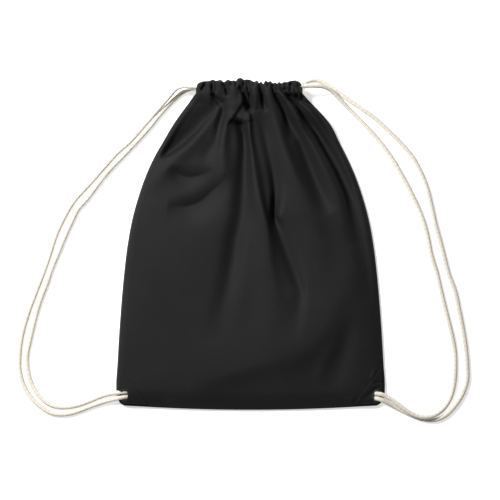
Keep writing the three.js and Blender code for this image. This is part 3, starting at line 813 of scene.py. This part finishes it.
def lay_panel(front):
    """Where the panel lies, from its cut: drawn in across, and up and down through its folds."""
    across = np.linspace(-CUT_HALF_WIDTH, CUT_HALF_WIDTH, COLUMNS)
    s, t = np.meshgrid(across, np.linspace(0, CUT_LENGTH, ROWS))
    y = bottom_edge(s) + (STITCH_Y - bottom_edge(s)) * t / CUT_LENGTH
    x = s / CUT_HALF_WIDTH * half_width(y, s > 0)
    at_stitch = s / CUT_HALF_WIDTH * half_width(np.full_like(s, STITCH_Y), s > 0)
    x += (hem_across(s) - at_stitch) * ease(y, NECK_Y, STITCH_Y)
    z = front_height(x, y) if front else back_height(x, y, s)
    return np.stack([x, y, z], -1)


def add_hem(points, front):
    """Carries the panel on above its stitch line: over the cords, and back behind them to the line."""
    s = np.linspace(-CUT_HALF_WIDTH, CUT_HALF_WIDTH, COLUMNS)
    x = hem_across(s)
    top = hem_top(x, front)
    stitch = points[-1, :, 2]
    core = FRONT_CORE_Z if front else BACK_HEM_Z
    lining = FRONT_LINING_Z if front else BACK_LINING_Z
    outer_rows = HEM_ROWS // 2
    inner_rows = HEM_ROWS - outer_rows
    rows = []
    for k in range(1, outer_rows + 1):
        y = STITCH_Y + (top - STITCH_Y) * math.sin(math.pi / 2 * k / outer_rows)
        roll = rounded((top - y) / OUTER_ROLL)
        if front:
            outer = np.maximum(front_height(x, np.minimum(y, GATHERS_TOP_Y)), FRONT_OUTER_Z)
            z = core + (outer - core) * roll
        else:
            depth = BACK_HEM_DEPTH - 0.8 * MM * ruffle(s, BACK_SEED)
            z = core - depth * roll * ease(y, STITCH_Y, STITCH_Y + HEM_SWELL)
        rows.append(np.stack([x, y, np.maximum(z, FLOOR_GAP)], -1))
    for k in range(1, inner_rows + 1):
        y = STITCH_Y + (top - STITCH_Y) * math.cos(math.pi / 2 * k / inner_rows)
        roll = rounded((top - y) / INNER_ROLL)
        z = core + (lining - core) * roll
        z = stitch + (z - stitch) * ease(y, STITCH_Y, STITCH_Y + HEM_SWELL)
        rows.append(np.stack([x * (1 - 0.05 * roll), y, z], -1))
    return np.concatenate([points, np.array(rows)])


def in_buttonhole(x, y):
    """Whether a place is in either buttonhole, out to the middle of its worked edge."""
    hole = np.zeros(x.shape, bool)
    for name, sign in SIDES.items():
        across = (x - sign * HOLE_X) / (HOLE[0] + 0.7 * MM)
        along = (y - HOLE_Y[name]) / (HOLE[1] + 0.7 * MM)
        hole |= across ** 2 + along ** 2 < 1
    return hole


def make_panel(name, front, material, nodes):
    """One sheet of cotton from the bottom seam over the hem and back; it stands for the given nodes."""
    points = add_hem(lay_panel(front), front)
    rows = len(points)
    faces = grid_faces(rows, COLUMNS)
    flat = points.reshape(-1, 3)
    if front:
        centre = flat[faces].mean(1)
        faces = faces[~in_buttonhole(centre[:, 0], centre[:, 1])]
    else:
        faces = faces[:, ::-1]
    panel = mesh_object(name, flat, faces, material)
    s, t = np.meshgrid(np.linspace(-CUT_HALF_WIDTH, CUT_HALF_WIDTH, COLUMNS), np.arange(rows) * GRID)
    set_uv(panel, np.stack([s.ravel(), t.ravel()], 1))
    solid = panel.modifiers.new("thickness", "SOLIDIFY")
    solid.thickness = CLOTH
    solid.offset = 0
    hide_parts(*nodes)
    follow_hem(panel, panel_pull(places(panel)))
    return panel


# ------------------------------------------------------------------ patches, buttonholes, stitching

def surface(x, y, lift):
    """Points on the front panel at (x, y), raised by lift along their normals, and the normals."""
    step = 0.4 * MM
    z = front_height(x, y)
    normal = np.stack([
        (front_height(x - step, y) - front_height(x + step, y)) / (2 * step),
        (front_height(x, y - step) - front_height(x, y + step)) / (2 * step),
        np.ones_like(x),
    ], -1)
    normal = unit(normal)
    return np.stack([x, y, z], -1) + normal * lift, normal


def make_stitches(name, line, normal, material, pitch, length, thick):
    """A run of thread stitches along a line on a surface, each dipping into the cloth at its ends."""
    along = distance_along(line)
    count = int(along[-1] / pitch)
    sides, rings = 6, 5
    points, faces = [], []
    for k in range(count):
        start = (k + 0.2) * pitch
        at = start + length * np.linspace(0, 1, rings)
        middle = np.stack([np.interp(at, along, line[:, i]) for i in range(3)], 1)
        up = np.stack([np.interp(at, along, normal[:, i]) for i in range(3)], 1)
        arch = np.sin(math.pi * np.linspace(0, 1, rings))
        middle = middle + up * ((arch - 0.55) * thick * 1.6)[:, None]
        side = np.cross(unit(middle[-1] - middle[0]), up)
        base = len(points)
        for ring in range(rings):
            size = thick * (0.55 + 0.45 * arch[ring])
            for corner in range(sides):
                angle = 2 * math.pi * corner / sides
                outward = math.cos(angle) * side[ring] + math.sin(angle) * up[ring]
                points.append(middle[ring] + size * outward)
        faces += [tuple(base + f) for f in grid_faces(rings, sides, wrap=True)]
        faces.append(tuple(base + c for c in range(sides))[::-1])
        faces.append(tuple(base + (rings - 1) * sides + c for c in range(sides)))
    run = mesh_object(name, points, faces, material)
    return run


def ride_panel(thing):
    """thing is sewn to a panel; its transform is baked, and it does not go with the panel."""
    follow_hem(thing, panel_pull(places(thing)))


PATCH_CORNER = (178.4 * MM, -214.8 * MM)    # the right patch's square corner; the left one mirrors it
PATCH_WIDE = 41 * MM
PATCH_HIGH = 51 * MM


def patch_point(side, u, v):
    """(u, v) run from the patch's square corner along the bottom and up the side."""
    sign = SIDES[side]
    x = sign * (PATCH_CORNER[0] - PATCH_WIDE * u - 1.5 * MM * v)
    y = PATCH_CORNER[1] + PATCH_HIGH * v
    width = half_width(y, x > 0) - 1.6 * MM
    x = np.clip(x, -width, width)
    y = np.maximum(y, bottom_edge(x) + 2.5 * MM)
    return x, y


def make_patch(side, cloth, thread):
    """The doubled triangle of cloth sewn over the corner, with the buttonhole cut through it."""
    count = 44
    index = {}
    points, uv, faces = [], [], []
    for i in range(count + 1):
        for j in range(count + 1 - i):
            index[i, j] = len(points)
            u, v = i / count, j / count
            points.append(patch_point(side, u, v))
            uv.append((u * PATCH_WIDE, v * PATCH_HIGH))
    flat = np.array(points)
    placed, _ = surface(flat[:, 0], flat[:, 1], 0.75 * MM)
    for i in range(count):
        for j in range(count - i):
            faces.append((index[i, j], index[i + 1, j], index[i, j + 1]))
            if i + j < count - 1:
                faces.append((index[i + 1, j], index[i + 1, j + 1], index[i, j + 1]))
    faces = np.array(faces)
    centre = placed[faces].mean(1)
    faces = faces[~in_buttonhole(centre[:, 0], centre[:, 1])]
    if side == "right":
        faces = faces[:, ::-1]
    patch = mesh_object(side + "_corner_cloth", placed, faces, cloth)
    set_uv(patch, uv)
    solid = patch.modifiers.new("thickness", "SOLIDIFY")
    solid.thickness = 0.6 * MM
    solid.offset = 0
    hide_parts(side + "_corner_patch")
    ride_panel(patch)
    around = [(0.05, 0.05), (0.88, 0.045), (0.045, 0.88), (0.05, 0.05)]
    corners = np.concatenate([
        np.linspace(a, b, 60, endpoint=False) for a, b in zip(around, around[1:])
    ])
    x, y = patch_point(side, corners[:, 0], corners[:, 1])
    line, normal = surface(x, y, 1.12 * MM)
    stitching = make_stitches(side + "_corner_stitching", line, normal, thread,
                              pitch=2.6 * MM, length=2.0 * MM, thick=0.24 * MM)
    ride_panel(stitching)


def make_buttonhole(side, thread):
    """A worked buttonhole: close radial stitches over the edge of the hole."""
    middle = (SIDES[side] * HOLE_X, HOLE_Y[side])
    inner = np.array(HOLE)
    outer = inner + RIM
    around, across = 300, 9
    depth = 1.8 * MM
    points = []
    for i in range(around):
        angle = 2 * math.pi * i / around
        rib = 0.5 + 0.5 * math.cos(2 * math.pi * i / 5)
        for j in range(across):
            turn = math.pi * j / (across - 1)
            share = 0.5 - 0.5 * math.cos(turn)
            reach = inner + (outer - inner) * share
            x = middle[0] + reach[0] * math.cos(angle)
            y = middle[1] + reach[1] * math.sin(angle)
            points.append((x, y, (0.2 + 0.6 * math.sin(turn)) * (0.7 + 0.3 * rib)))
    flat = np.array(points)
    ring, _ = surface(flat[:, 0], flat[:, 1], 0.7 * MM)
    ring[:, 2] += flat[:, 2] * MM
    under = ring.reshape(around, across, 3)[:, ::-1].copy()
    under[..., 2] -= depth
    closed = np.concatenate([ring.reshape(around, across, 3), under], 1)
    faces = []
    total = 2 * across
    for i in range(around):
        for j in range(total):
            a, b = i * total + j, i * total + (j + 1) % total
            c, d = ((i + 1) % around) * total + (j + 1) % total, ((i + 1) % around) * total + j
            faces.append((a, b, c, d))
    rim = mesh_object(side + "_buttonhole_thread", closed.reshape(-1, 3), faces, thread)
    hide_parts(side + "_buttonhole")
    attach(rim, "bag")


def make_knot(side, strand_lines, material):
    """The overhand knot inside the corner that keeps both ends of a cord from pulling out."""
    sign = SIDES[side]
    knot_x, knot_y = sign * KNOT_AT[0], KNOT_AT[1]
    turn = np.linspace(0, 2 * math.pi, 150)
    x = np.sin(turn) + 2 * np.sin(2 * turn)
    y = np.cos(turn) - 2 * np.cos(2 * turn)
    z = -np.sin(3 * turn)
    loop = np.stack([knot_x + 2.5 * MM * x, knot_y + 2.5 * MM * y, 4.0 * MM + 1.4 * MM * z], 1)
    tube = braided_tube(side + "_knot_cord", loop[:-1], 2.1 * MM, material)
    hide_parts(side + "_knot")
    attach(tube, "bag")
    for name in (side + "_strap_outer", side + "_strap_inner"):
        end = strand_lines[name][-1]
        bend = end + (-sign * 4 * MM, 1 * MM, 0)
        at_knot = (knot_x + sign * 5 * MM, knot_y - 4 * MM, 3.9 * MM)
        lead = route(np.array([end, bend, at_knot]), 0.8 * MM)
        piece = braided_tube(name + "_lead", lead, 2.7 * MM, material)
        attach(piece, "bag")


# ------------------------------------------------------------------ putting it together

make_camera()
cord_cotton = cord_material()
strand_lines = make_strands(cord_cotton)
make_held_cords(cord_cotton)

black_cotton = cotton_material()
thread = thread_material()

hem_pieces = range(1, 6)
back_nodes = ["back_panel", "left_side_seam", "right_side_seam", "bottom_seam"]
back_nodes += [f"back_hem_{k}" for k in hem_pieces]
front_nodes = ["front_panel"] + [f"front_hem_{k}" for k in hem_pieces]
back = make_panel("back_cloth", front=False, material=black_cotton, nodes=back_nodes)
front = make_panel("front_cloth", front=True, material=black_cotton, nodes=front_nodes)

for side in SIDES:
    make_patch(side, black_cotton, thread)
    make_buttonhole(side, thread)
    make_knot(side, strand_lines, cord_cotton)

hem_at = np.linspace(HEM_LEFT_X + 1.5 * MM, HEM_RIGHT_X - 1.5 * MM, 900)
hem_line, hem_normal = surface(hem_at, np.full_like(hem_at, STITCH_Y - 0.5 * MM), 0.3 * MM)
hem_stitching = make_stitches("front_hem_stitching", hem_line, hem_normal, thread,
                              pitch=1.7 * MM, length=1.3 * MM, thick=0.17 * MM)
ride_panel(hem_stitching)

make_floor(floor_material())
make_light()
